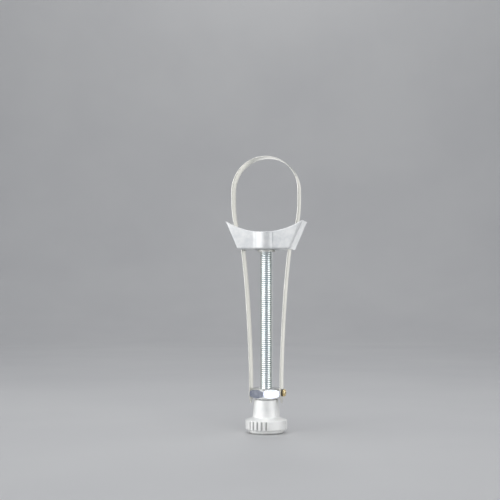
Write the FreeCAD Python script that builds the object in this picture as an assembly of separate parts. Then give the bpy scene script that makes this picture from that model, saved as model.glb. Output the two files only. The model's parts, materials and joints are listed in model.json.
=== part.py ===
import FreeCAD, Part

import math
import os

# Oil filter wrench: a steel band loop that a screw spindle pulls tight round a filter.
# Units are millimetres. Z is the spindle's axis and points up, X runs across the cradle,
# and the origin is the centre of the knob's underside. The nut stands at its lowest place.

V = FreeCAD.Vector
UP = V(0, 0, 1)

# ---- driving dimensions ------------------------------------------------------------------

# main screw thread
THREAD_DIAMETER = 10.0
THREAD_PITCH = 1.5
STUB_DIAMETER = 8.0
STUB_PITCH = 1.25

# gaps between pieces that slide, turn or drop over one another
RADIAL_GAP = 0.06
THREAD_MOUTH_GAP = 0.24
FACE_GAP = 0.05

# parts of an ISO thread: depth cut from a sharp thread, and crest width as a share of the pitch
THREAD_DEPTH_SHARE = 17 / 24
THREAD_CREST_SHARE = 1 / 8

# lengths shorter than this count as nothing
TINY = 1e-6

# knob
KNOB_LIP_RADIUS = 14.0
KNOB_LIP_HEIGHT = 3.0
KNOB_RIM_RADIUS = 16.4
KNOB_RIM_TOP = 10.3
KNOB_NECK_FOOT_RADIUS = 10.8
KNOB_NECK_TOP_RADIUS = 9.2
KNOB_TOP = 26.4
KNOB_SLOPE_TOP = 12.2
KNOB_EDGE = 0.6
KNOB_LIP_ROUNDING = 1.6
KNOB_NECK_FILLET = 1.6
KNOB_POCKET_RADIUS = 9.5
KNOB_POCKET_DEPTH = 9.1
FLUTE_GROUPS = 3
FLUTES_PER_GROUP = 5
FLUTE_STEP_DEG = 12.7
FLUTE_CENTRE_DEG = -104.5
FLUTE_RADIUS = 0.8
FLUTE_DEPTH = 0.9

# spindle
DRIVE_FLATS = 8.5
DRIVE_TOP = 19.0
DRIVE_FOOT_GAP = 0.5
STUB_END = 1.2
JOURNAL_RADIUS = 4.0
JOURNAL_TOP = 156.6
RING_GROOVE_RADIUS = 3.8
END_ROUNDING = 0.5

# travelling nut, and the screw and the rivet that hold the band on it
NUT_FLATS = 24.0
NUT_HEIGHT = 8.4
NUT_BOTTOM = 27.0
NUT_CHAMFER_DEG = 38.0
NUT_FACE_SHARE = 0.91
NUT_CORNER_SHARE = 0.04
SCREW_HEIGHT = 31.6
SCREW_RADIUS = 2.0
SCREW_DEPTH_IN_NUT = 6.0
SCREW_HEAD_RADIUS = 2.9
SCREW_HEAD_HEIGHT = 2.0
SCREW_HEAD_ROUNDING = 1.2
SCREW_CROSS_LENGTH = 3.6
SCREW_CROSS_WIDTH = 0.9
SCREW_CROSS_DEPTH = 1.2
COLLAR_RADIUS = 2.8
COLLAR_HEIGHT = 1.0
RIVET_HEAD_RADIUS = 3.0
RIVET_HEAD_HEIGHT = 0.7
RIVET_HEAD_ROUNDING = 0.5

# band
BAND_THICKNESS = 0.6
BAND_WIDTH = 14.0
BAND_TIP_WIDTH = 3.0
BAND_TIP = 23.4
BAND_TAPER_TOP = 28.4
BAND_STRAIGHT_TOP = 50.0
BAND_MIDWAY_X = 14.7
BAND_MIDWAY_Z = 102.0
BAND_LOOP_RADIUS = 26.3
BAND_TOP = 217.1

# cradle
CRADLE_UNDERSIDE = 143.9
CRADLE_ARC_LOW = 157.6
CRADLE_ARC_RADIUS = 57.5
CRADLE_TIP_HALF_WIDTH = 30.9
CRADLE_FOOT_HALF_WIDTH = 21.0
CRADLE_DEPTH = 24.4
CRADLE_BOSS_RADIUS = 14.2
CRADLE_EDGE = 1.4
CRADLE_CORNER = 2.0
CRADLE_BOSS_FILLET = 2.5
CRADLE_TUBE_RADIUS = 7.0
CRADLE_HOLLOW_RADIUS = 10.8
CRADLE_HOLLOW_DEPTH = 8.0
CRADLE_SEAT_RADIUS = 7.6
CRADLE_SEAT_HEIGHT = 153.4
SLOT_FOOT_X = 18.6
SLOT_HEAD_X = 23.8
SLOT_HEAD_Z = 161.6
SLOT_THICKNESS = 3.0
SLOT_WIDTH = 15.6
SLOT_OVERRUN = 12.0

# washers, retaining ring and lock nut
THRUST_WASHER_RADIUS = 7.0
THRUST_WASHER_HEIGHT = 1.6
TOP_WASHER_RADIUS = 6.6
TOP_WASHER_HEIGHT = 1.2
RING_THICKNESS = 0.8
RING_OUTER_RADIUS = 5.3
RING_LUG_RADIUS = 1.1
RING_LUG_HOLE_RADIUS = 0.45
RING_OPENING_DEG = 44.0
FOOT_WASHER_RADIUS = 8.0
FOOT_WASHER_HEIGHT = 1.6
LOCK_NUT_FLATS = 13.0
LOCK_NUT_HEIGHT = 5.4

# ---- places that follow from them --------------------------------------------------------

THREAD_BOTTOM = KNOB_TOP
THREAD_TOP = CRADLE_UNDERSIDE - THRUST_WASHER_HEIGHT
NUT_SIDE = NUT_FLATS / 2
BAND_LEG_X = NUT_SIDE + BAND_THICKNESS / 2
BAND_LOOP_CENTRE = BAND_TOP - BAND_LOOP_RADIUS - BAND_THICKNESS / 2
TOP_WASHER_BOTTOM = CRADLE_SEAT_HEIGHT + FACE_GAP
RING_BOTTOM = TOP_WASHER_BOTTOM + TOP_WASHER_HEIGHT + FACE_GAP
FOOT_WASHER_TOP = KNOB_POCKET_DEPTH
LOCK_NUT_TOP = FOOT_WASHER_TOP - FOOT_WASHER_HEIGHT


# ---- shapes used more than once ----------------------------------------------------------


def cylinder(radius, bottom, top):
    """Round bar on the spindle's axis."""
    return Part.makeCylinder(radius, top - bottom, V(0, 0, bottom))


def ring(inner, outer, bottom, top):
    """Flat washer on the spindle's axis."""
    return cylinder(outer, bottom, top).cut(cylinder(inner, bottom, top))


def turned(corners):
    """Solid turned about Z from an outline of (radius, height, rounding) corners."""
    return rounded_face(corners).revolve(V(0, 0, 0), UP, 360)


def rounded_face(corners):
    """Flat face in the XZ plane from (x, z, radius) corners, each rounded by an arc of its radius."""
    places = [V(x, 0, z) for x, z, radius in corners]
    edges = []
    entries = []
    exits = []
    for k, here in enumerate(places):
        radius = corners[k][2]
        back = (places[k - 1] - here).normalize()
        ahead = (places[(k + 1) % len(places)] - here).normalize()
        half_angle = back.getAngle(ahead) / 2
        reach = radius / math.tan(half_angle)
        entries.append(here + back * reach)
        exits.append(here + ahead * reach)
        if radius:
            inwards = (back + ahead).normalize()
            middle = here + inwards * (radius / math.sin(half_angle) - radius)
            edges.append(Part.Arc(entries[k], middle, exits[k]).toShape())
    for k in range(len(places)):
        edges.append(Part.makeLine(exits[k - 1], entries[k]))
    return Part.Face(Part.Wire(Part.__sortEdges__(edges)))


def block(across, bottom, top):
    """Square bar on the spindle's axis."""
    corner = V(-across / 2, -across / 2, bottom)
    return Part.makeBox(across, across, top - bottom, corner)


def is_upright(edge):
    """True for a straight edge parallel to the spindle's axis."""
    low, high = (vertex.Point for vertex in edge.Vertexes)
    return math.hypot(high.x - low.x, high.y - low.y) < TINY


def hexagon_corner_radius(flats):
    return flats / 2 / math.cos(math.radians(30))


def hexagon(flats, bottom, top):
    """Hexagonal bar on the spindle's axis, with two of its flats square to X."""
    corner_radius = hexagon_corner_radius(flats)
    corners = []
    for k in range(7):
        angle = math.radians(30 + 60 * k)
        corners.append(V(corner_radius * math.cos(angle), corner_radius * math.sin(angle), bottom))
    return Part.Face(Part.makePolygon(corners)).extrude(V(0, 0, top - bottom))


def nut_blank(flats, bottom, top):
    """Hexagonal bar with eased corners, turned down at both ends as on a nut."""
    bar = hexagon(flats, bottom, top)
    bar = bar.makeFillet(flats * NUT_CORNER_SHARE, [e for e in bar.Edges if is_upright(e)])
    corner_radius = hexagon_corner_radius(flats)
    face_radius = flats / 2 * NUT_FACE_SHARE
    drop = (corner_radius - face_radius) * math.tan(math.radians(NUT_CHAMFER_DEG))
    envelope = turned([
        (0, bottom, 0),
        (face_radius, bottom, 0),
        (corner_radius, bottom + drop, 0),
        (corner_radius, top - drop, 0),
        (face_radius, top, 0),
        (0, top, 0),
    ])
    return bar.common(envelope)


def thread_core(diameter, pitch, bottom, top, gap=0.0):
    """Solid of a right-hand ISO thread with flat ends, thicker all round by gap."""
    sharp_height = pitch * math.sqrt(3) / 2
    crest_radius = diameter / 2 + gap
    root_radius = diameter / 2 - sharp_height * THREAD_DEPTH_SHARE + gap
    crest_width = pitch * THREAD_CREST_SHARE + gap
    root_width = pitch * THREAD_CREST_SHARE - gap / 2
    flank_width = (pitch - crest_width - root_width) / 2

    # one turn of the surface, as strips between helices, starting at the first one below bottom
    start = math.floor(bottom / pitch - 2) * pitch - crest_width / 2
    heights = [0, crest_width, crest_width + flank_width, pitch - flank_width, pitch]
    radii = [crest_radius, crest_radius, root_radius, root_radius, crest_radius]
    edges = []
    for radius, height in zip(radii, heights):
        helix = Part.makeHelix(pitch, pitch, radius)
        helix.translate(V(0, 0, start + height))
        edges.append(helix.Edges[0])
    strips = [Part.makeRuledSurface(a, b) for a, b in zip(edges, edges[1:])]

    turns = math.ceil((top - start) / pitch) + 1
    faces = []
    for k in range(turns):
        for strip in strips:
            faces.append(strip.translated(V(0, 0, k * pitch)))

    # a ramp and a flat step close each end
    ramp = Part.makeRuledSurface(
        edges[0], Part.makeLine(V(0, 0, start), V(0, 0, start + pitch))
    )
    step_corners = [V(0, 0, start)]
    step_corners += [V(r, 0, start + h) for r, h in zip(radii, heights)]
    step_corners += [V(0, 0, start + pitch), V(0, 0, start)]
    step = Part.Face(Part.makePolygon(step_corners))
    for height in (0, turns * pitch):
        faces.append(ramp.translated(V(0, 0, height)))
        faces.append(step.translated(V(0, 0, height)))

    skin = Part.makeCompound(faces)
    skin.sewShape()
    solid = Part.Solid(skin.Shells[0])
    if solid.Volume < 0:
        solid.reverse()
    return solid.common(cylinder(diameter, bottom, top))


def threaded_hole(diameter, pitch, bottom, top):
    """The space a threaded hole takes out of a nut, with a countersink at each end."""
    mouth_radius = diameter / 2 + THREAD_MOUTH_GAP
    mouth_depth = pitch / 2
    hole = thread_core(diameter, pitch, bottom + mouth_depth, top - mouth_depth, RADIAL_GAP)
    wide = mouth_radius + mouth_depth
    lower = Part.makeCone(wide, mouth_radius, mouth_depth, V(0, 0, bottom))
    upper = Part.makeCone(mouth_radius, wide, mouth_depth, V(0, 0, top - mouth_depth))
    return hole.fuse([lower, upper])


def turned_half_round(shape):
    """Copy of the shape on the other side of the spindle's axis."""
    other = shape.copy()
    other.rotate(V(0, 0, 0), UP, 180)
    return other


# ---- knob and what holds it on the spindle -----------------------------------------------


def knob():
    body = turned([
        (0, 0, 0),
        (KNOB_LIP_RADIUS, 0, KNOB_LIP_ROUNDING),
        (KNOB_LIP_RADIUS, KNOB_LIP_HEIGHT, 0),
        (KNOB_RIM_RADIUS, KNOB_LIP_HEIGHT, KNOB_EDGE),
        (KNOB_RIM_RADIUS, KNOB_RIM_TOP, KNOB_EDGE),
        (KNOB_NECK_FOOT_RADIUS, KNOB_SLOPE_TOP, KNOB_NECK_FILLET),
        (KNOB_NECK_TOP_RADIUS, KNOB_TOP, KNOB_EDGE),
        (0, KNOB_TOP, 0),
    ])
    body = body.cut(cylinder(KNOB_POCKET_RADIUS, 0, KNOB_POCKET_DEPTH))
    body = body.cut(cylinder(THREAD_DIAMETER / 2 + RADIAL_GAP, DRIVE_TOP, KNOB_TOP))
    body = body.cut(drive_square(RADIAL_GAP, KNOB_POCKET_DEPTH, DRIVE_TOP))
    return body.cut(flutes())


def flutes():
    """The groups of upright grip grooves round the knob's rim."""
    away = KNOB_RIM_RADIUS + FLUTE_RADIUS - FLUTE_DEPTH
    middle = (FLUTES_PER_GROUP - 1) / 2
    grooves = []
    for group in range(FLUTE_GROUPS):
        for k in range(FLUTES_PER_GROUP):
            turn = FLUTE_CENTRE_DEG + group * 360 / FLUTE_GROUPS + (k - middle) * FLUTE_STEP_DEG
            angle = math.radians(turn)
            place = V(away * math.cos(angle), away * math.sin(angle), 0)
            grooves.append(Part.makeCylinder(FLUTE_RADIUS, KNOB_SLOPE_TOP, place))
    return Part.makeCompound(grooves)


def drive_square(gap, bottom, top):
    """Round bar with four flats, which turns the knob with the spindle."""
    bar = cylinder(THREAD_DIAMETER / 2 + gap, bottom, top)
    return bar.common(block(DRIVE_FLATS + 2 * gap, bottom, top))


def knob_washer():
    return ring(
        STUB_DIAMETER / 2 + 2 * RADIAL_GAP,
        FOOT_WASHER_RADIUS,
        FOOT_WASHER_TOP - FOOT_WASHER_HEIGHT,
        FOOT_WASHER_TOP,
    )


def knob_nut():
    bottom = LOCK_NUT_TOP - LOCK_NUT_HEIGHT
    body = nut_blank(LOCK_NUT_FLATS, bottom, LOCK_NUT_TOP)
    return body.cut(threaded_hole(STUB_DIAMETER, STUB_PITCH, bottom, LOCK_NUT_TOP))


# ---- spindle and what holds it in the cradle ---------------------------------------------


def spindle():
    shoulder = KNOB_POCKET_DEPTH + DRIVE_FOOT_GAP
    stub = thread_core(STUB_DIAMETER, STUB_PITCH, STUB_END, shoulder)
    drive = drive_square(0, shoulder, DRIVE_TOP)
    shank = cylinder(THREAD_DIAMETER / 2, DRIVE_TOP, THREAD_BOTTOM)
    screw = thread_core(THREAD_DIAMETER, THREAD_PITCH, THREAD_BOTTOM, THREAD_TOP)
    groove_top = RING_BOTTOM + RING_THICKNESS + FACE_GAP
    journal = turned([
        (0, THREAD_TOP, 0),
        (JOURNAL_RADIUS, THREAD_TOP, 0),
        (JOURNAL_RADIUS, RING_BOTTOM - FACE_GAP, 0),
        (RING_GROOVE_RADIUS, RING_BOTTOM - FACE_GAP, 0),
        (RING_GROOVE_RADIUS, groove_top, 0),
        (JOURNAL_RADIUS, groove_top, 0),
        (JOURNAL_RADIUS, JOURNAL_TOP, END_ROUNDING),
        (0, JOURNAL_TOP, 0),
    ])
    return stub.fuse([drive, shank]).fuse(screw).fuse(journal)


def thrust_washer():
    return ring(
        JOURNAL_RADIUS + RADIAL_GAP, THRUST_WASHER_RADIUS, THREAD_TOP + FACE_GAP, CRADLE_UNDERSIDE
    )


def retaining_washer():
    return ring(
        JOURNAL_RADIUS + RADIAL_GAP,
        TOP_WASHER_RADIUS,
        TOP_WASHER_BOTTOM,
        TOP_WASHER_BOTTOM + TOP_WASHER_HEIGHT,
    )


def retaining_ring():
    """Spring ring with a gap and two drilled ears, opened over the journal's groove."""
    top = RING_BOTTOM + RING_THICKNESS
    inner = RING_GROOVE_RADIUS + RADIAL_GAP
    body = ring(inner, RING_OUTER_RADIUS, RING_BOTTOM, top)
    half = math.radians(RING_OPENING_DEG / 2)
    reach = 2 * RING_OUTER_RADIUS
    wedge = Part.Face(Part.makePolygon([
        V(0, 0, RING_BOTTOM),
        V(reach * math.cos(half), reach * math.sin(half), RING_BOTTOM),
        V(reach * math.cos(half), -reach * math.sin(half), RING_BOTTOM),
        V(0, 0, RING_BOTTOM),
    ])).extrude(V(0, 0, RING_THICKNESS))
    body = body.cut(wedge)
    ear_angle = half + RING_LUG_RADIUS / RING_OUTER_RADIUS
    for side in (-1, 1):
        place = V(
            RING_OUTER_RADIUS * math.cos(ear_angle),
            side * RING_OUTER_RADIUS * math.sin(ear_angle),
            RING_BOTTOM,
        )
        body = body.fuse(Part.makeCylinder(RING_LUG_RADIUS, RING_THICKNESS, place))
        body = body.cut(Part.makeCylinder(RING_LUG_HOLE_RADIUS, RING_THICKNESS, place))
    return body.cut(cylinder(inner, RING_BOTTOM, top))


# ---- travelling nut, band and what joins them ---------------------------------------------


def travelling_nut():
    body = nut_blank(NUT_FLATS, NUT_BOTTOM, NUT_BOTTOM + NUT_HEIGHT)
    body = body.cut(
        threaded_hole(THREAD_DIAMETER, THREAD_PITCH, NUT_BOTTOM, NUT_BOTTOM + NUT_HEIGHT)
    )
    hole = Part.makeCylinder(
        SCREW_RADIUS + RADIAL_GAP,
        SCREW_DEPTH_IN_NUT + FACE_GAP,
        V(NUT_SIDE - SCREW_DEPTH_IN_NUT - FACE_GAP, 0, SCREW_HEIGHT),
        V(1, 0, 0),
    )
    return body.cut([hole, turned_half_round(hole)])


def screw_collar():
    """Dark collar between the band and the screw's head."""
    start = NUT_SIDE + BAND_THICKNESS
    place = V(start, 0, SCREW_HEIGHT)
    outside = Part.makeCylinder(COLLAR_RADIUS, COLLAR_HEIGHT, place, V(1, 0, 0))
    bore = Part.makeCylinder(SCREW_RADIUS + RADIAL_GAP, COLLAR_HEIGHT, place, V(1, 0, 0))
    return outside.cut(bore)


def pin_with_head(under_head, head_radius, head_height, rounding):
    """Round pin that reaches into the nut, with its head at the top, built upright on Z."""
    foot = NUT_SIDE - SCREW_DEPTH_IN_NUT
    return turned([
        (0, foot, 0),
        (SCREW_RADIUS, foot, END_ROUNDING),
        (SCREW_RADIUS, under_head, 0),
        (head_radius, under_head, 0),
        (head_radius, under_head + head_height, rounding),
        (0, under_head + head_height, 0),
    ])


def laid_along_x(shape, side):
    """The upright shape turned to point along +X (side 1) or -X (side -1), at the screw's height."""
    shape.rotate(V(0, 0, 0), V(0, 1, 0), side * 90)
    shape.translate(V(0, 0, SCREW_HEIGHT))
    return shape


def band_screw():
    """Pan-head screw with a cross recess, at the band's right end."""
    under_head = NUT_SIDE + BAND_THICKNESS + COLLAR_HEIGHT
    top = under_head + SCREW_HEAD_HEIGHT
    screw = pin_with_head(under_head, SCREW_HEAD_RADIUS, SCREW_HEAD_HEIGHT, SCREW_HEAD_ROUNDING)
    long, short = SCREW_CROSS_LENGTH, SCREW_CROSS_WIDTH
    for across, along in ((long, short), (short, long)):
        corner = V(-across / 2, -along / 2, top - SCREW_CROSS_DEPTH)
        screw = screw.cut(Part.makeBox(across, along, SCREW_CROSS_DEPTH, corner))
    return laid_along_x(screw, 1)


def band_rivet():
    """Flat-headed rivet at the band's left end."""
    under_head = NUT_SIDE + BAND_THICKNESS
    rivet = pin_with_head(under_head, RIVET_HEAD_RADIUS, RIVET_HEAD_HEIGHT, RIVET_HEAD_ROUNDING)
    return laid_along_x(rivet, -1)


def side_spline(points):
    """Smooth curve through the points that starts and ends upright."""
    curve = Part.BSplineCurve()
    curve.interpolate(Points=points, InitialTangent=UP, FinalTangent=UP)
    return curve


def band_side(shift):
    """One side of the loop from the nut to the widest place, moved outwards by shift."""
    waypoints = [
        V(BAND_LEG_X, 0, BAND_STRAIGHT_TOP),
        V(BAND_MIDWAY_X, 0, BAND_MIDWAY_Z),
        V(SLOT_FOOT_X, 0, CRADLE_UNDERSIDE),
        V((SLOT_FOOT_X + SLOT_HEAD_X) / 2, 0, (CRADLE_UNDERSIDE + SLOT_HEAD_Z) / 2),
        V(SLOT_HEAD_X, 0, SLOT_HEAD_Z),
        V(BAND_LOOP_RADIUS, 0, BAND_LOOP_CENTRE),
    ]
    middle = side_spline(waypoints)
    moved = []
    for point in waypoints:
        along = middle.tangent(middle.parameter(point))[0]
        outwards = V(0, 1, 0).cross(along).normalize()
        moved.append(point + outwards * shift)
    return side_spline(moved).toShape()


def band_outline(shift):
    """The whole band's edge from one tip over the top to the other, moved outwards by shift."""
    leg_x = BAND_LEG_X + shift
    radius = BAND_LOOP_RADIUS + shift
    leg = Part.makeLine(V(leg_x, 0, BAND_TIP), V(leg_x, 0, BAND_STRAIGHT_TOP))
    side = band_side(shift)
    arch = Part.Arc(
        V(radius, 0, BAND_LOOP_CENTRE),
        V(0, 0, BAND_LOOP_CENTRE + radius),
        V(-radius, 0, BAND_LOOP_CENTRE),
    ).toShape()
    other_side = [edge.mirror(V(0, 0, 0), V(1, 0, 0)) for edge in (side, leg)]
    return [leg, side, arch] + other_side


def band():
    half = BAND_THICKNESS / 2
    inner_x = BAND_LEG_X - half
    outer_x = BAND_LEG_X + half
    edges = band_outline(half) + band_outline(-half)
    for side in (-1, 1):
        edges.append(Part.makeLine(V(side * inner_x, 0, BAND_TIP), V(side * outer_x, 0, BAND_TIP)))
    outline = Part.Wire(Part.__sortEdges__(edges))
    strip = Part.Face(outline).extrude(V(0, BAND_WIDTH, 0))
    strip.translate(V(0, -BAND_WIDTH / 2, 0))

    # both ends are cut to a blunt point, seen from the side
    reach = KNOB_RIM_RADIUS
    for side in (-1, 1):
        corner = [
            V(-reach, side * BAND_TIP_WIDTH / 2, BAND_TIP),
            V(-reach, side * BAND_WIDTH, BAND_TIP),
            V(-reach, side * BAND_WIDTH, BAND_TAPER_TOP),
            V(-reach, side * BAND_WIDTH / 2, BAND_TAPER_TOP),
            V(-reach, side * BAND_TIP_WIDTH / 2, BAND_TIP),
        ]
        strip = strip.cut(Part.Face(Part.makePolygon(corner)).extrude(V(2 * reach, 0, 0)))
    hole = Part.makeCylinder(
        SCREW_RADIUS + RADIAL_GAP,
        2 * reach,
        V(-reach, 0, SCREW_HEIGHT),
        V(1, 0, 0),
    )
    return strip.cut(hole)


# ---- cradle ------------------------------------------------------------------------------


def is_across(edge):
    """True for a straight edge that runs from the cradle's front to its back."""
    ends = [vertex.Point for vertex in edge.Vertexes]
    return math.hypot(ends[-1].x - ends[0].x, ends[-1].z - ends[0].z) < TINY


def cradle_casting():
    """The casting's outside: two wings, a round boss between them, and the concave top."""
    arc_centre = CRADLE_ARC_LOW + CRADLE_ARC_RADIUS
    tip_height = arc_centre - math.sqrt(CRADLE_ARC_RADIUS**2 - CRADLE_TIP_HALF_WIDTH**2)
    wings = rounded_face([
        (-CRADLE_FOOT_HALF_WIDTH, CRADLE_UNDERSIDE, CRADLE_CORNER),
        (CRADLE_FOOT_HALF_WIDTH, CRADLE_UNDERSIDE, CRADLE_CORNER),
        (CRADLE_TIP_HALF_WIDTH, tip_height, 0),
        (-CRADLE_TIP_HALF_WIDTH, tip_height, 0),
    ]).extrude(V(0, CRADLE_DEPTH, 0))
    wings.translate(V(0, -CRADLE_DEPTH / 2, 0))
    body = wings.fuse(cylinder(CRADLE_BOSS_RADIUS, CRADLE_UNDERSIDE, tip_height)).removeSplitter()

    joins = [e for e in body.Edges if is_upright(e) and abs(e.BoundBox.XMin) < CRADLE_BOSS_RADIUS]
    body = body.makeFillet(CRADLE_BOSS_FILLET, joins)
    outline = []
    for edge in body.Edges:
        below_tips = edge.BoundBox.ZMin < tip_height - CRADLE_EDGE
        if below_tips and not is_upright(edge) and not is_across(edge):
            outline.append(edge)
    body = body.makeFillet(CRADLE_EDGE, outline)
    hollow_top = Part.makeCylinder(
        CRADLE_ARC_RADIUS, 4 * CRADLE_DEPTH, V(0, -2 * CRADLE_DEPTH, arc_centre), V(0, 1, 0)
    )
    return body.cut(hollow_top)


def band_slot(side):
    """The sloping slot that one side of the band runs through."""
    rise = SLOT_HEAD_Z - CRADLE_UNDERSIDE
    lean = (SLOT_HEAD_X - SLOT_FOOT_X) / rise
    low = V(side * (SLOT_FOOT_X - lean * SLOT_OVERRUN), -SLOT_WIDTH / 2, CRADLE_UNDERSIDE - SLOT_OVERRUN)
    high = V(side * (SLOT_HEAD_X + lean * SLOT_OVERRUN), -SLOT_WIDTH / 2, SLOT_HEAD_Z + SLOT_OVERRUN)
    across = V(SLOT_THICKNESS / 2, 0, 0)
    face = Part.Face(Part.makePolygon([
        low - across, low + across, high + across, high - across, low - across
    ]))
    return face.extrude(V(0, SLOT_WIDTH, 0))


def cradle():
    body = cradle_casting()
    body = body.cut(cylinder(JOURNAL_RADIUS + RADIAL_GAP, CRADLE_UNDERSIDE, CRADLE_ARC_LOW))
    seat_top = CRADLE_ARC_LOW + CRADLE_SEAT_RADIUS
    body = body.cut(cylinder(CRADLE_SEAT_RADIUS, CRADLE_SEAT_HEIGHT, seat_top))
    body = body.cut(ring(
        CRADLE_TUBE_RADIUS,
        CRADLE_HOLLOW_RADIUS,
        CRADLE_UNDERSIDE,
        CRADLE_UNDERSIDE + CRADLE_HOLLOW_DEPTH,
    ))
    return body.cut([band_slot(-1), band_slot(1)])


# ---- build every piece -------------------------------------------------------------------

PIECES = {
    "knob": knob,
    "knob_washer": knob_washer,
    "knob_nut": knob_nut,
    "spindle": spindle,
    "thrust_washer": thrust_washer,
    "retaining_washer": retaining_washer,
    "retaining_ring": retaining_ring,
    "travelling_nut": travelling_nut,
    "screw_collar": screw_collar,
    "band_screw": band_screw,
    "band_rivet": band_rivet,
    "band": band,
    "cradle": cradle,
}

os.makedirs("parts", exist_ok=True)
for name, make in PIECES.items():
    shape = make()
    print(name, "valid" if shape.isValid() else "NOT VALID", "solids:", len(shape.Solids))
    shape.exportStep("parts/" + name + ".step")
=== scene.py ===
import json
import math

import bpy
import numpy as np
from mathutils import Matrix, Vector

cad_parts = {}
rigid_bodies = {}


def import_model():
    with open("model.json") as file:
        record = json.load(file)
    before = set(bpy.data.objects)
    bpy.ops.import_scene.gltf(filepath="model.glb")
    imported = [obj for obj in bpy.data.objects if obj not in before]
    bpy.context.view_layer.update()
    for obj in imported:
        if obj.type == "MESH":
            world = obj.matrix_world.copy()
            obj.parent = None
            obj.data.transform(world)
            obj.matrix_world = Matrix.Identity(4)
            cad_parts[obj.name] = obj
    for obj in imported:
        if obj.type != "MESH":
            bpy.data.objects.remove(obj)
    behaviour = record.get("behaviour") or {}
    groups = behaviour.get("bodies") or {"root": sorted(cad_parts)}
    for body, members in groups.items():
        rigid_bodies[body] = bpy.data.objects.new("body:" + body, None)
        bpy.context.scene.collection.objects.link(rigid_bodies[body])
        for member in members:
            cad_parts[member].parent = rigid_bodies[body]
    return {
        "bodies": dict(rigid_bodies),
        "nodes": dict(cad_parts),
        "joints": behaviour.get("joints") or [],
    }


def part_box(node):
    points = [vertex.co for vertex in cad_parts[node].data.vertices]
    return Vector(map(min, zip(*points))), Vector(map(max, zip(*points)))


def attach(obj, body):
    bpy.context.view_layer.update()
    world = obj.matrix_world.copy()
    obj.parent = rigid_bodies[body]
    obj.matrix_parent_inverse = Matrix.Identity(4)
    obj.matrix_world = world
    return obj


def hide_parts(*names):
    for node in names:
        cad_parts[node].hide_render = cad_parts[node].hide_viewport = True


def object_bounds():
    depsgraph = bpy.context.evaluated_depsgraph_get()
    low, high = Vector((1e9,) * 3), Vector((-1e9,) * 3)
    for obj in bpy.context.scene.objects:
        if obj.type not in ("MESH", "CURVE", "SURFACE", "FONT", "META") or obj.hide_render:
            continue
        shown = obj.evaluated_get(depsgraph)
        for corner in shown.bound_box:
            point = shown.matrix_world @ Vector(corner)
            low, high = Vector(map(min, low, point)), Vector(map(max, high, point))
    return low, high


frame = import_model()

MM = 0.001
cad_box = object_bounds()


# ---- sizes read from the frame --------------------------------------------------------------

band_low, band_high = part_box("band")
nut_low, nut_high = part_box("travelling_nut")
cradle_low, cradle_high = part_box("cradle")
knob_low, knob_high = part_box("knob")

TRAVEL = next(j for j in frame["joints"] if j["name"] == "nut_travel")["range_m"][1]
HEIGHT = cad_box[1].z - cad_box[0].z

# Sizes that the frame's boxes don't give. They are the same as in the CAD part.
BAND_THICKNESS = 0.6 * MM
BAND_TIP_WIDTH = 3.0 * MM
BAND_TAPER = 5.0 * MM
LEG_STRAIGHT = 14.6 * MM
LEG_MIDWAY_X = 14.7 * MM
SLOT_FOOT_X = 18.6 * MM
SLOT_HEAD_X = 23.8 * MM
SLOT_RISE = 17.7 * MM

# The band's path lies in the plane across the cradle, so its points are (x, z) pairs.
BAND_WIDTH = band_high.y - band_low.y
LEG_X = nut_high.x + BAND_THICKNESS / 2
LOOP_RADIUS = band_high.x - BAND_THICKNESS / 2
LOOP_CENTRE = band_high.z - LOOP_RADIUS - BAND_THICKNESS / 2
SLOT_FOOT = Vector((SLOT_FOOT_X, cradle_low.z))
SLOT_HEAD = Vector((SLOT_HEAD_X, cradle_low.z + SLOT_RISE))


# ---- the band's path for any place of the nut ------------------------------------------------

MIDWAY_SHARE = 0.55
LEG_STEPS = 12
SIDE_STEPS = 60
ARCH_STEPS = 90
LOOP_STEPS = 160
OPEN_FIRST_LEAN = math.radians(60)
OPEN_BEND_SHARE = 0.05
LEAN_LIMIT = 1.5
LEAN_HALVINGS = 50


def smooth_path(points, first, last, steps):
    """Points along a smooth curve through the given points, with unit directions first and last."""
    knots = [Vector(p) for p in points]
    slopes = []
    for k, knot in enumerate(knots):
        if k == 0:
            slopes.append(Vector(first) * (knots[1] - knot).length)
        elif k == len(knots) - 1:
            slopes.append(Vector(last) * (knot - knots[k - 1]).length)
        else:
            slopes.append((knots[k + 1] - knots[k - 1]) / 2)
    path = []
    for k in range(len(knots) - 1):
        a, b = knots[k], knots[k + 1]
        length = (b - a).length
        start = slopes[k].normalized() * length
        end = slopes[k + 1].normalized() * length
        for i in range(steps):
            u = i / steps
            path.append(
                a * (2 * u**3 - 3 * u**2 + 1)
                + start * (u**3 - 2 * u**2 + u)
                + b * (3 * u**2 - 2 * u**3)
                + end * (u**3 - u**2)
            )
    path.append(knots[-1])
    return np.array([tuple(p) for p in path])


def path_length(path):
    return float(np.linalg.norm(np.diff(path, axis=0), axis=1).sum())


def leg_path(travel):
    """From the band's tip past the nut and through the cradle's slot, for a place of the nut."""
    share = travel / TRAVEL
    tip = Vector((LEG_X, band_low.z + travel))
    straight_top = Vector((LEG_X, nut_high.z + travel + LEG_STRAIGHT * (1 - share)))
    midway = straight_top.lerp(SLOT_FOOT, MIDWAY_SHARE)
    midway.x += (LEG_MIDWAY_X - midway.x) * (1 - share)
    knots = [tip, straight_top, midway, SLOT_FOOT, (SLOT_FOOT + SLOT_HEAD) / 2, SLOT_HEAD]
    slot_way = (SLOT_HEAD - SLOT_FOOT).normalized()
    return smooth_path(knots, (0, 1), slot_way, LEG_STEPS)


def loop_from_angles(angles, length):
    """Half the loop, from the slot to the top, in equal steps at the given leans from upright."""
    step = length / len(angles)
    moves = np.stack([np.sin(angles), np.cos(angles)], axis=1) * step
    start = np.array([tuple(SLOT_HEAD)])
    return np.concatenate([start, start + np.cumsum(moves, axis=0)])


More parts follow.
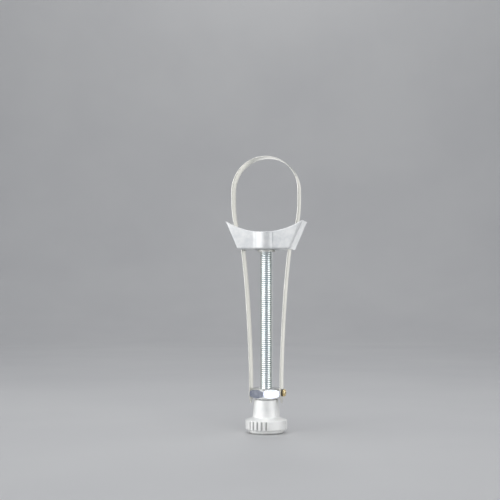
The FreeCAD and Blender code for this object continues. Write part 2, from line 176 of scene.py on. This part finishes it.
def rest_loop():
    """Half the loop at rest: from the slot up to the widest place, then a quarter circle."""
    slot_way = (SLOT_HEAD - SLOT_FOOT).normalized()
    widest = Vector((LOOP_RADIUS, LOOP_CENTRE))
    side = smooth_path([SLOT_HEAD, widest], slot_way, (0, 1), SIDE_STEPS)
    turns = np.linspace(0, math.pi / 2, ARCH_STEPS + 1)[1:]
    arch = np.stack(
        [LOOP_RADIUS * np.cos(turns), LOOP_CENTRE + LOOP_RADIUS * np.sin(turns)], axis=1
    )
    return np.concatenate([side, arch])


def even_steps(path, count):
    """The path again, with count + 1 points at equal distances."""
    along = np.concatenate([[0], np.cumsum(np.linalg.norm(np.diff(path, axis=0), axis=1))])
    places = np.linspace(0, along[-1], count + 1)
    return np.stack([np.interp(places, along, path[:, k]) for k in range(2)], axis=1)


def leans(path):
    """How far each step of a path leans from upright, in radians."""
    moves = np.diff(path, axis=0)
    return np.arctan2(moves[:, 0], moves[:, 1])


REST_LEANS = leans(even_steps(rest_loop(), LOOP_STEPS))
HALF_LENGTH = path_length(leg_path(0)) + path_length(rest_loop())


def open_leans():
    """Leans of the fully open loop: a quick bend out of the slot, then an even curve."""
    share = (np.arange(LOOP_STEPS) + 0.5) / LOOP_STEPS
    slot_lean = math.atan2(SLOT_HEAD.x - SLOT_FOOT.x, SLOT_HEAD.y - SLOT_FOOT.y)
    even = OPEN_FIRST_LEAN - (OPEN_FIRST_LEAN + math.pi / 2) * share
    return even - (OPEN_FIRST_LEAN - slot_lean) * np.exp(-share / OPEN_BEND_SHARE)


def band_path(travel, count):
    """Half the band, from tip to top, in count equal steps, for a place of the nut.

    The band keeps its length. Halving a range finds the bulge that ends the half loop on the axis.
    """
    leg = leg_path(travel)
    length = HALF_LENGTH - path_length(leg)
    share = travel / TRAVEL
    base = REST_LEANS * (1 - share) + open_leans() * share
    bulge = np.sin(np.linspace(0, math.pi, LOOP_STEPS))
    low, high = -LEAN_LIMIT, LEAN_LIMIT
    for _ in range(LEAN_HALVINGS):
        middle = (low + high) / 2
        if loop_from_angles(base + middle * bulge, length)[-1, 0] > 0:
            high = middle
        else:
            low = middle
    loop = loop_from_angles(base + (low + high) / 2 * bulge, length)
    loop[-1, 0] = 0.0
    return even_steps(np.concatenate([leg[:-1], loop]), count)


# ---- mesh building ----------------------------------------------------------------------------


def new_object(name, mesh):
    obj = bpy.data.objects.new(name, mesh)
    bpy.context.scene.collection.objects.link(obj)
    return obj


def shade_smooth(mesh, sharp_deg=40):
    for polygon in mesh.polygons:
        polygon.use_smooth = True
    mesh.set_sharp_from_angle(angle=math.radians(sharp_deg))


BAND_STEPS = 260
EDGE_ARC = 3
EDGE_ROUNDING = 0.8


def band_section(width):
    """Corners of the strip's cross-section as (out, across), with rolled round edges."""
    half = BAND_THICKNESS / 2
    radius = half * EDGE_ROUNDING
    corners = []
    for turn in range(4):
        out_sign = 1 if turn in (0, 3) else -1
        across_sign = 1 if turn in (0, 1) else -1
        for k in range(EDGE_ARC + 1):
            angle = math.pi / 2 * (turn + k / EDGE_ARC)
            corners.append((
                out_sign * (half - radius) + radius * math.cos(angle),
                across_sign * (width / 2 - radius) + radius * math.sin(angle),
            ))
    return corners


def band_points(travel):
    """Every vertex of the band for a place of the nut, section after section."""
    half = band_path(travel, BAND_STEPS)
    whole = np.concatenate([half, half[-2::-1] * np.array([-1, 1])])
    ways = np.gradient(whole, axis=0)
    ways /= np.linalg.norm(ways, axis=1)[:, None]
    step = HALF_LENGTH / BAND_STEPS
    points = []
    for k, (place, way) in enumerate(zip(whole, ways)):
        from_tip = min(k, len(whole) - 1 - k) * step
        taper = min(1.0, from_tip / BAND_TAPER)
        width = BAND_TIP_WIDTH + (BAND_WIDTH - BAND_TIP_WIDTH) * taper
        out = np.array([way[1], -way[0]])
        for shift, across in band_section(width):
            points.append((
                place[0] + out[0] * shift,
                across,
                place[1] + out[1] * shift,
            ))
    return points


def make_band():
    """The strip as one mesh, with the distance from its tip stored for the finish to follow."""
    ring = 4 * (EDGE_ARC + 1)
    sections = 2 * BAND_STEPS + 1
    faces = []
    for k in range(sections - 1):
        for i in range(ring):
            j = (i + 1) % ring
            faces.append((k * ring + i, k * ring + j, (k + 1) * ring + j, (k + 1) * ring + i))
    faces.append(tuple(reversed(range(ring))))
    faces.append(tuple((sections - 1) * ring + i for i in range(ring)))
    mesh = bpy.data.meshes.new("band_strip")
    mesh.from_pydata(band_points(0.0), [], faces)
    along = mesh.attributes.new("along", "FLOAT", "POINT")
    step = HALF_LENGTH / BAND_STEPS
    along.data.foreach_set("value", [k * step for k in range(sections) for _ in range(ring)])
    shade_smooth(mesh)
    band = new_object("band_strip", mesh)
    add_band_shapes(band)
    return band


SHAPES = 16


def add_band_shapes(band):
    """Shape keys for even places of the nut, each at full weight only when the nut is there."""
    band.shape_key_add(name="rest")
    for k in range(1, SHAPES + 1):
        travel = TRAVEL * k / SHAPES
        key = band.shape_key_add(name=f"travel_{k}")
        points = np.array(band_points(travel))
        points[:, 2] -= travel
        key.data.foreach_set("co", points.ravel())
        driver = key.driver_add("value").driver
        driver.type = "SCRIPTED"
        rise = driver.variables.new()
        rise.name = "rise"
        rise.type = "TRANSFORMS"
        rise.targets[0].id = frame["bodies"]["nut"]
        rise.targets[0].transform_type = "LOC_Z"
        rise.targets[0].transform_space = "WORLD_SPACE"
        driver.expression = f"max(0, 1 - abs(rise * {SHAPES / TRAVEL:.6f} - {k}))"


def cast_copy(node, name, voxel, rounds):
    """A casting with softened edges: the node's mesh, rebuilt evenly and smoothed a little."""
    mesh = frame["nodes"][node].data.copy()
    mesh.materials.clear()
    piece = new_object(name, mesh)
    rebuild = piece.modifiers.new("rebuild", "REMESH")
    rebuild.mode = "VOXEL"
    rebuild.voxel_size = voxel
    soften = piece.modifiers.new("soften", "SMOOTH")
    soften.factor = 0.5
    soften.iterations = rounds
    bpy.context.view_layer.update()
    depsgraph = bpy.context.evaluated_depsgraph_get()
    piece.data = bpy.data.meshes.new_from_object(piece.evaluated_get(depsgraph))
    piece.data.name = name
    piece.modifiers.clear()
    for polygon in piece.data.polygons:
        polygon.use_smooth = True
    return piece


# ---- material building ------------------------------------------------------------------------

# The mix node has a set of sockets for each kind of data, so they are picked by number.
COLOUR_A, COLOUR_B, COLOUR_OUT = 6, 7, 2
VECTOR_A, VECTOR_B, VECTOR_OUT = 4, 5, 1


class Finish:
    """A material with one Principled surface, and short ways to add nodes to it."""

    def __init__(self, name):
        self.material = bpy.data.materials.new(name)
        self.material.use_nodes = True
        self.tree = self.material.node_tree
        self.tree.nodes.clear()
        self.surface = self.tree.nodes.new("ShaderNodeBsdfPrincipled")
        output = self.tree.nodes.new("ShaderNodeOutputMaterial")
        self.tree.links.new(self.surface.outputs["BSDF"], output.inputs["Surface"])

    def node(self, kind, **settings):
        made = self.tree.nodes.new(kind)
        for key, value in settings.items():
            setattr(made, key, value)
        return made

    def connect(self, source, target):
        """Link a socket to the target, or set the target to a plain number or colour."""
        if isinstance(source, (int, float, tuple)):
            target.default_value = source
        else:
            self.tree.links.new(source, target)

    def place(self):
        return self.node("ShaderNodeTexCoord").outputs["Object"]

    def split(self, vector):
        parts = self.node("ShaderNodeSeparateXYZ")
        self.connect(vector, parts.inputs["Vector"])
        return parts.outputs["X"], parts.outputs["Y"], parts.outputs["Z"]

    def from_axis(self, place):
        """Distance from the spindle's axis."""
        x, y, _ = self.split(place)
        squares = self.math("ADD", self.math("POWER", x, 2.0), self.math("POWER", y, 2.0))
        return self.math("SQRT", squares)

    def stretched(self, vector, scale):
        mapping = self.node("ShaderNodeMapping")
        self.connect(vector, mapping.inputs["Vector"])
        mapping.inputs["Scale"].default_value = scale
        return mapping.outputs["Vector"]

    def noise(self, vector, scale, detail=4.0, rough=0.55):
        texture = self.node("ShaderNodeTexNoise")
        self.connect(vector, texture.inputs["Vector"])
        texture.inputs["Scale"].default_value = scale
        texture.inputs["Detail"].default_value = detail
        texture.inputs["Roughness"].default_value = rough
        return texture.outputs["Fac"]

    def cells(self, vector, scale):
        texture = self.node("ShaderNodeTexVoronoi")
        self.connect(vector, texture.inputs["Vector"])
        texture.inputs["Scale"].default_value = scale
        return texture.outputs["Distance"]

    def spread(self, value, low, high, to_low, to_high):
        """The value moved from one range to another, and held inside it."""
        remap = self.node("ShaderNodeMapRange", clamp=True)
        self.connect(value, remap.inputs["Value"])
        for socket, number in (
            ("From Min", low), ("From Max", high), ("To Min", to_low), ("To Max", to_high)
        ):
            remap.inputs[socket].default_value = number
        return remap.outputs["Result"]

    def math(self, operation, a, b=0.0):
        made = self.node("ShaderNodeMath", operation=operation)
        self.connect(a, made.inputs[0])
        self.connect(b, made.inputs[1])
        return made.outputs["Value"]

    def blend(self, share, a, b):
        mix = self.node("ShaderNodeMix", data_type="RGBA")
        self.connect(share, mix.inputs["Factor"])
        self.connect(a, mix.inputs[COLOUR_A])
        self.connect(b, mix.inputs[COLOUR_B])
        return mix.outputs[COLOUR_OUT]

    def two_tone(self, value, dark, light):
        """Colour between dark and light that follows a noise value."""
        return self.blend(self.spread(value, 0.35, 0.65, 0.0, 1.0), dark, light)

    def soft_edges(self, radius):
        """Normal that rounds the edges off by the radius."""
        soft = self.node("ShaderNodeBevel", samples=6)
        soft.inputs["Radius"].default_value = radius
        return soft.outputs["Normal"]

    def bump(self, heights, normal):
        """Surface normal from (height, depth in metres, strength) layers on top of a normal."""
        for height, depth, strength in heights:
            made = self.node("ShaderNodeBump")
            self.connect(height, made.inputs["Height"])
            self.connect(normal, made.inputs["Normal"])
            made.inputs["Distance"].default_value = depth
            made.inputs["Strength"].default_value = strength
            normal = made.outputs["Normal"]
        self.connect(normal, self.surface.inputs["Normal"])

    def eased_thread(self, place, share):
        """Normal of a thread, turned towards straight outwards by the share."""
        x, y, _ = self.split(place)
        outwards = self.node("ShaderNodeCombineXYZ")
        self.connect(x, outwards.inputs["X"])
        self.connect(y, outwards.inputs["Y"])
        turned = self.node("ShaderNodeVectorTransform", vector_type="NORMAL")
        turned.convert_from, turned.convert_to = "OBJECT", "WORLD"
        self.connect(outwards.outputs["Vector"], turned.inputs["Vector"])
        plain = self.node("ShaderNodeNewGeometry")
        mix = self.node("ShaderNodeMix", data_type="VECTOR")
        mix.inputs["Factor"].default_value = share
        self.connect(plain.outputs["Normal"], mix.inputs[VECTOR_A])
        self.connect(turned.outputs["Vector"], mix.inputs[VECTOR_B])
        return mix.outputs[VECTOR_OUT]

    def edge_wear_and_highlight(self, radius):
        """Near 1 along outer and inner edges, and 0 on open faces. It masks rubbed edges and also
        painted edge highlight.
        """
        soft = self.node("ShaderNodeBevel", samples=4)
        soft.inputs["Radius"].default_value = radius
        plain = self.node("ShaderNodeNewGeometry")
        dot = self.node("ShaderNodeVectorMath", operation="DOT_PRODUCT")
        self.connect(soft.outputs["Normal"], dot.inputs[0])
        self.connect(plain.outputs["Normal"], dot.inputs[1])
        return self.spread(dot.outputs["Value"], 0.99, 0.85, 0.0, 1.0)

    def corners(self, distance):
        """Mask for painted shade: 0 in open places, rising towards 1 deep in corners and holes."""
        shade = self.node("ShaderNodeAmbientOcclusion", samples=8, only_local=True)
        shade.inputs["Distance"].default_value = distance
        return self.spread(shade.outputs["AO"], 0.1, 0.65, 1.0, 0.0)

    def finish(self, colour, roughness, metallic):
        self.connect(colour, self.surface.inputs["Base Color"])
        self.connect(roughness, self.surface.inputs["Roughness"])
        self.connect(metallic, self.surface.inputs["Metallic"])
        return self.material


def cast_aluminium(f, dark, light, roughness, shine, painted_shade):
    """Tumbled die casting: pale, fine grained, slightly blotched, darkened by painted shade where
    the shade mask is high.
    """
    place = f.place()
    blotch = f.noise(place, 70, 5.0)
    cloud = f.noise(place, 260, 6.0, 0.65)
    grain = f.noise(place, 2600, 3.0)
    dents = f.cells(place, 900)
    colour = f.two_tone(blotch, dark, light)
    colour = f.blend(f.spread(cloud, 0.42, 0.62, 0.0, 0.5), colour, (0.90, 0.90, 0.89, 1))
    # Painted shade: near black where the shade mask is high.
    colour = f.blend(f.math("MULTIPLY", painted_shade, 0.9), colour, (0.05, 0.05, 0.05, 1))
    rough = f.spread(cloud, 0.35, 0.65, roughness, roughness + 0.12)
    f.bump([
        (blotch, 0.25 * MM, 0.25),
        (cloud, 0.08 * MM, 0.3),
        (dents, 0.04 * MM, 0.25),
        (grain, 0.02 * MM, 0.3),
    ], f.soft_edges(0.3 * MM))
    return f.finish(colour, rough, shine)


def cradle_aluminium():
    """The greyer casting, with painted shade only in deep corners."""
    f = Finish("cradle_aluminium")
    # Painted shade from ambient occlusion in deep corners.
    painted_shade = f.corners(5 * MM)
    return cast_aluminium(f, (0.66, 0.68, 0.69, 1), (0.80, 0.81, 0.81, 1), 0.42, 0.85, painted_shade)


def knob_aluminium():
    """The paler casting, with painted shade down in the grip grooves and in deep corners."""
    f = Finish("knob_aluminium")
    place = f.place()
    _, _, height = f.split(place)
    dark_within = knob_high.x - 0.8 * MM
    plain_beyond = knob_high.x - 0.4 * MM
    # The painted groove shade starts just above the lip and ends just under the rim's top.
    shade_foot = 3.2 * MM
    full_from = 3.8 * MM
    full_to = 9.4 * MM
    shade_head = 10.1 * MM
    sunk = f.spread(f.from_axis(place), dark_within, plain_beyond, 1.0, 0.0)
    over_lip = f.spread(height, shade_foot, full_from, 0.0, 1.0)
    under_slope = f.spread(height, full_to, shade_head, 1.0, 0.0)
    # Painted shade down in the grip grooves, and in deep corners.
    groove_shade = f.math("MULTIPLY", sunk, f.math("MULTIPLY", over_lip, under_slope))
    painted_shade = f.math("MAXIMUM", f.math("MULTIPLY", groove_shade, 0.6), f.corners(3 * MM))
    return cast_aluminium(f, (0.80, 0.81, 0.80, 1), (0.93, 0.93, 0.91, 1), 0.52, 0.6, painted_shade)


def zinc_thread():
    """Bright zinc on a rolled thread: cool tint, dull and dark down in the roots, the dark partly
    oil and dirt and partly painted shade.
    """
    f = Finish("zinc_thread")
    place = f.place()
    dark_within = 4.1 * MM
    plain_beyond = 4.6 * MM
    root = f.spread(f.from_axis(place), dark_within, plain_beyond, 1.0, 0.0)
    patch = f.noise(place, 110, 5.0)
    fine = f.noise(f.stretched(place, (1, 1, 6)), 1500, 3.0)
    colour = f.two_tone(patch, (0.82, 0.88, 0.89, 1), (0.94, 0.96, 0.95, 1))
    # Dark teal in the roots: partly oil and dirt, partly painted shade.
    colour = f.blend(f.math("MULTIPLY", root, 0.8), colour, (0.13, 0.23, 0.27, 1))
    rough = f.math("ADD", f.spread(fine, 0.3, 0.7, 0.16, 0.24), f.math("MULTIPLY", root, 0.15))
    f.bump([(patch, 0.04 * MM, 0.2), (fine, 0.012 * MM, 0.3)], f.eased_thread(place, share=0.75))
    return f.finish(colour, rough, 1.0)


def zinc_nut():
    """Bright zinc on machined flats, with fine scratches and faint cloudy passivation; the chamfers
    that tilt up or down and the edges are lightened with painted highlight.
    """
    f = Finish("zinc_nut")
    place = f.place()
    cloud = f.noise(place, 220, 5.0)
    scratch = f.noise(f.stretched(place, (1, 1, 14)), 700, 4.0, 0.7)
    speck = f.noise(place, 1500, 3.0)
    colour = f.two_tone(cloud, (0.36, 0.39, 0.50, 1), (0.68, 0.71, 0.80, 1))
    colour = f.blend(f.spread(speck, 0.56, 0.68, 0.0, 0.6), colour, (0.24, 0.27, 0.35, 1))
    # Painted highlight: near white on the chamfers that tilt up or down and along the edges.
    _, _, facing_up = f.split(f.node("ShaderNodeNewGeometry").outputs["Normal"])
    turned = f.spread(f.math("ABSOLUTE", facing_up), 0.2, 0.5, 0.0, 0.9)
    painted_highlight = f.math("MAXIMUM", turned, f.math("MULTIPLY", f.edge_wear_and_highlight(0.6 * MM), 0.8))
    colour = f.blend(painted_highlight, colour, (0.97, 0.97, 0.96, 1))
    rough = f.spread(scratch, 0.3, 0.7, 0.16, 0.28)
    f.bump([
        (cloud, 0.08 * MM, 0.3),
        (scratch, 0.02 * MM, 0.3),
        (speck, 0.012 * MM, 0.3),
    ], f.soft_edges(0.3 * MM))
    return f.finish(colour, rough, 1.0)


def band_steel():
    """Satin rolled strip: lengthwise lines, small dark specks, darker rolled edges."""
    f = Finish("band_steel")
    _, across, _ = f.split(f.place())
    along = f.node("ShaderNodeAttribute", attribute_name="along")
    flat = f.node("ShaderNodeCombineXYZ")
    f.connect(along.outputs["Fac"], flat.inputs["X"])
    f.connect(across, flat.inputs["Y"])
    sheet = flat.outputs["Vector"]
    lines = f.noise(f.stretched(sheet, (0.02, 1, 1)), 2600, 4.0, 0.6)
    broad = f.noise(f.stretched(sheet, (0.25, 1, 1)), 120, 4.0)
    specks = f.noise(sheet, 420, 3.0, 0.5)
    edge = f.spread(f.math("ABSOLUTE", across), BAND_WIDTH * 0.44, BAND_WIDTH * 0.5, 0.0, 1.0)
    colour = f.two_tone(broad, (0.80, 0.80, 0.74, 1), (0.90, 0.89, 0.83, 1))
    colour = f.blend(f.spread(lines, 0.45, 0.75, 0.0, 0.25), colour, (0.60, 0.58, 0.54, 1))
    speck = f.spread(specks, 0.66, 0.72, 0.0, 1.0)
    dark = f.math("MULTIPLY", speck, f.spread(edge, 0, 1, 0.45, 0.8))
    colour = f.blend(dark, colour, (0.10, 0.10, 0.09, 1))
    rough = f.math("ADD", f.spread(lines, 0.3, 0.7, 0.28, 0.4), f.math("MULTIPLY", dark, 0.2))
    f.bump([(broad, 0.05 * MM, 0.2), (lines, 0.01 * MM, 0.35)], f.soft_edges(0.1 * MM))
    return f.finish(colour, rough, 0.88)


def yellow_zinc():
    """Yellow passivated zinc: gold with straw and faint green areas."""
    f = Finish("yellow_zinc")
    place = f.place()
    cloud = f.noise(place, 420, 4.0)
    tint = f.noise(place, 900, 3.0)
    fine = f.noise(place, 5200, 3.0)
    colour = f.two_tone(cloud, (0.78, 0.55, 0.22, 1), (0.92, 0.78, 0.48, 1))
    colour = f.blend(f.spread(tint, 0.55, 0.7, 0.0, 0.45), colour, (0.66, 0.60, 0.32, 1))
    rough = f.spread(fine, 0.3, 0.7, 0.2, 0.32)
    f.bump([(cloud, 0.03 * MM, 0.2), (fine, 0.01 * MM, 0.35)], f.soft_edges(0.15 * MM))
    return f.finish(colour, rough, 1.0)


def rivet_steel():
    """Plain steel rivet head, satin, with small dents from setting it."""
    f = Finish("rivet_steel")
    place = f.place()
    cloud = f.noise(place, 380, 4.0)
    dents = f.cells(place, 1100)
    fine = f.noise(place, 4600, 3.0)
    colour = f.two_tone(cloud, (0.58, 0.58, 0.57, 1), (0.74, 0.73, 0.71, 1))
    rough = f.spread(fine, 0.3, 0.7, 0.28, 0.42)
    f.bump([(dents, 0.05 * MM, 0.3), (fine, 0.012 * MM, 0.35)], f.soft_edges(0.15 * MM))
    return f.finish(colour, rough, 1.0)


def black_oxide():
    """Black oxide on steel: near black, satin, a little rubbed."""
    f = Finish("black_oxide")
    place = f.place()
    cloud = f.noise(place, 500, 4.0)
    fine = f.noise(place, 4200, 3.0)
    colour = f.two_tone(cloud, (0.016, 0.016, 0.018, 1), (0.05, 0.048, 0.046, 1))
    colour = f.blend(f.math("MULTIPLY", f.edge_wear_and_highlight(0.2 * MM), 0.4), colour, (0.22, 0.21, 0.20, 1))
    rough = f.spread(fine, 0.3, 0.7, 0.36, 0.52)
    f.bump([(cloud, 0.03 * MM, 0.2), (fine, 0.01 * MM, 0.4)], f.soft_edges(0.12 * MM))
    return f.finish(colour, rough, 0.8)


def zinc_washer():
    """Stamped washer with dull zinc and a fine grain."""
    f = Finish("zinc_washer")
    place = f.place()
    cloud = f.noise(place, 300, 4.0)
    fine = f.noise(place, 3800, 3.0)
    colour = f.two_tone(cloud, (0.70, 0.71, 0.69, 1), (0.84, 0.84, 0.81, 1))
    rough = f.spread(fine, 0.3, 0.7, 0.42, 0.58)
    f.bump([(cloud, 0.04 * MM, 0.2), (fine, 0.012 * MM, 0.35)], f.soft_edges(0.15 * MM))
    return f.finish(colour, rough, 0.7)


def phosphated_steel():
    """Dark grey spring steel."""
    f = Finish("phosphated_steel")
    place = f.place()
    cloud = f.noise(place, 600, 4.0)
    fine = f.noise(place, 4800, 3.0)
    colour = f.two_tone(cloud, (0.07, 0.07, 0.075, 1), (0.16, 0.16, 0.165, 1))
    rough = f.spread(fine, 0.3, 0.7, 0.38, 0.55)
    f.bump([(fine, 0.012 * MM, 0.4)], f.soft_edges(0.1 * MM))
    return f.finish(colour, rough, 0.85)


def pale_backdrop():
    """Matt pale studio paper."""
    f = Finish("pale_backdrop")
    place = f.place()
    cloud = f.noise(place, 3, 3.0)
    fibre = f.noise(place, 900, 3.0)
    colour = f.two_tone(cloud, (0.74, 0.74, 0.74, 1), (0.78, 0.78, 0.775, 1))
    f.bump([(fibre, 0.1 * MM, 0.1)], f.soft_edges(0.1 * MM))
    return f.finish(colour, 0.85, 0.0)


def wear(piece, material):
    piece.data.materials.clear()
    piece.data.materials.append(material)


# ---- stage ------------------------------------------------------------------------------------

CAMERA_AZIMUTH = 11.0
CAMERA_DISTANCE = 0.8


def make_backdrop():
    """A wide floor that curves up into a wall all round."""
    floor_radius, bend_radius, wall_top = 1.6, 0.9, 2.6
    bend_steps, around = 16, 96
    profile = [(0.0, 0.0), (floor_radius, 0.0)]
    for k in range(1, bend_steps + 1):
        angle = math.pi / 2 * k / bend_steps
        profile.append((
            floor_radius + bend_radius * math.sin(angle),
            bend_radius * (1 - math.cos(angle)),
        ))
    profile.append((floor_radius + bend_radius, wall_top))
    points = [(0.0, 0.0, 0.0)]
    for r, z in profile[1:]:
        for k in range(around):
            turn = 2 * math.pi * k / around
            points.append((r * math.cos(turn), r * math.sin(turn), z))
    faces = [(0, 1 + k, 1 + (k + 1) % around) for k in range(around)]
    for row in range(len(profile) - 2):
        for k in range(around):
            j = (k + 1) % around
            a = 1 + row * around
            b = a + around
            faces.append((a + k, b + k, b + j, a + j))
    mesh = bpy.data.meshes.new("backdrop")
    mesh.from_pydata(points, [], faces)
    for polygon in mesh.polygons:
        polygon.use_smooth = True
    backdrop = new_object("backdrop", mesh)
    gap_under_knob = 0.02 * MM
    backdrop.location.z = knob_low.z - gap_under_knob
    wear(backdrop, pale_backdrop())


def add_lamp(
    name, azimuth, elevation, distance, size, glow, colour=(1, 1, 1), aim_height=HEIGHT / 2
):
    """Soft panel that faces the spindle at aim_height, unseen by the camera.

    Azimuth 0 is the camera's side and 90 the camera's right. Glow is the panel's own brightness.
    """
    data = bpy.data.lights.new(name, "AREA")
    data.shape = "RECTANGLE"
    data.size, data.size_y = size
    data.energy = glow * math.pi * size[0] * size[1]
    data.color = colour
    lamp = new_object(name, data)
    a, e = math.radians(CAMERA_AZIMUTH + azimuth), math.radians(elevation)
    way = Vector((math.sin(a) * math.cos(e), -math.cos(a) * math.cos(e), math.sin(e)))
    lamp.location = Vector((0, 0, aim_height)) + way * distance
    lamp.rotation_euler = (-way).to_track_quat("-Z", "Y").to_euler()
    lamp.visible_camera = False
    return lamp


def light_only(lamp, pieces):
    """Keeps a lamp's light on the given pieces and off everything else."""
    lit = bpy.data.collections.new("lit_by_" + lamp.name)
    for piece in pieces:
        lit.objects.link(piece)
    lamp.light_linking.receiver_collection = lit


def add_wall_lamp():
    """Soft ball of light behind the wrench that lights the backdrop only."""
    data = bpy.data.lights.new("wall_lamp", "POINT")
    data.shadow_soft_size = 0.3
    data.energy = 15
    lamp = new_object("wall_lamp", data)
    azimuth = math.radians(CAMERA_AZIMUTH)
    behind = 1.5
    height = 1.5
    lamp.location = (-behind * math.sin(azimuth), behind * math.cos(azimuth), height)
    lamp.visible_camera = False
    light_only(lamp, [bpy.data.objects["backdrop"]])


def add_lamps():
    """Lamps round the wrench. All but "above" and "front" light only what they are meant for."""
    pieces = [o for o in bpy.data.objects if o.type == "MESH" and o.name != "backdrop"]
    nut = frame["nodes"]["travelling_nut"]
    cradle = bpy.data.objects["cradle_casting"]
    strip = bpy.data.objects["band_strip"]
    nut_level = 0.03
    cradle_level = 0.14
    loop_level = 0.175

    add_lamp("above", azimuth=-10, elevation=78, distance=1.0, size=(1.0, 0.9), glow=1.7)
    add_wall_lamp()
    add_lamp(
        "front", azimuth=6, elevation=22, distance=1.1, size=(0.5, 0.5), glow=0.35,
        colour=(0.85, 0.93, 1.0),
    )
    key = add_lamp("key", azimuth=-50, elevation=14, distance=0.9, size=(0.8, 0.9), glow=2.2)
    light_only(key, pieces)
    side = add_lamp("side", azimuth=56, elevation=10, distance=0.9, size=(0.8, 0.9), glow=2.1)
    light_only(side, pieces)
    far_key = add_lamp(
        "far_key", azimuth=-88, elevation=8, distance=0.9, size=(0.65, 0.9), glow=1.9
    )
    light_only(far_key, [o for o in pieces if o not in (nut, cradle)])

    rim = add_lamp(
        "rim", azimuth=154, elevation=0, distance=0.3, size=(0.12, 0.3), glow=0.75,
        colour=(1.0, 0.99, 0.94), aim_height=cradle_level,
    )
    light_only(rim, [o for o in pieces if o != cradle])
    cradle_rim = add_lamp(
        "cradle_rim", azimuth=158, elevation=0, distance=0.3, size=(0.17, 0.3), glow=1.35,
        aim_height=cradle_level,
    )
    light_only(cradle_rim, [cradle])
    top_rim = add_lamp(
        "top_rim", azimuth=182, elevation=0, distance=0.3, size=(0.06, 0.1), glow=1.0,
        aim_height=loop_level,
    )
    light_only(top_rim, [strip])
    card = add_lamp(
        "card", azimuth=38, elevation=0, distance=0.2, size=(0.1, 0.12), glow=2.2,
        aim_height=nut_level,
    )
    light_only(card, [nut])


def set_world():
    world = bpy.data.worlds.new("studio")
    world.use_nodes = True
    sky = world.node_tree.nodes["Background"]
    sky.inputs["Color"].default_value = (0.86, 0.9, 1.0, 1)
    sky.inputs["Strength"].default_value = 0.3
    bpy.context.scene.world = world


def add_camera():
    """View from a little right of the front, level with the wrench's middle.

    The shifts move the wrench off the middle of the picture without tilting the camera.
    """
    azimuth = math.radians(CAMERA_AZIMUTH)
    eye_height = 106 * MM
    picture_width = 394 * MM
    data = bpy.data.cameras.new("camera")
    data.sensor_width = 36
    data.lens = data.sensor_width * CAMERA_DISTANCE / picture_width
    data.shift_x = -0.0326
    data.shift_y = 0.0961
    data.clip_start = 0.01
    camera = new_object("camera", data)
    camera.location = (
        CAMERA_DISTANCE * math.sin(azimuth), -CAMERA_DISTANCE * math.cos(azimuth), eye_height
    )
    camera.rotation_euler = (math.pi / 2, 0, azimuth)
    bpy.context.scene.camera = camera
    bpy.context.scene.view_settings.view_transform = "Standard"


# ---- put it together --------------------------------------------------------------------------

FINISHES = {
    "spindle": zinc_thread,
    "travelling_nut": zinc_nut,
    "band_screw": yellow_zinc,
    "screw_collar": black_oxide,
    "band_rivet": rivet_steel,
    "thrust_washer": zinc_washer,
    "retaining_washer": zinc_washer,
    "retaining_ring": phosphated_steel,
    "knob_washer": zinc_washer,
    "knob_nut": zinc_nut,
}

CASTINGS = (
    # node, piece, body, voxel size, rounds of smoothing, finish
    ("cradle", "cradle_casting", "cradle", 0.3 * MM, 3, cradle_aluminium),
    ("knob", "knob_casting", "spindle", 0.2 * MM, 2, knob_aluminium),
)


def finish_nodes():
    """Dresses the CAD meshes that are shown as they are. Nodes of one finish share a material."""
    made = {}
    for node, finish in FINISHES.items():
        if finish not in made:
            made[finish] = finish()
        wear(frame["nodes"][node], made[finish])


def add_castings():
    """Shows the cradle and the knob as softened castings, each on its node's body."""
    for node, name, body, voxel, rounds, finish in CASTINGS:
        casting = cast_copy(node, name, voxel, rounds)
        wear(casting, finish())
        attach(casting, body)
        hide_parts(node)


def add_band():
    band = make_band()
    wear(band, band_steel())
    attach(band, "nut")
    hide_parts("band")


finish_nodes()
add_castings()
add_band()
make_backdrop()
add_lamps()
set_world()
add_camera()
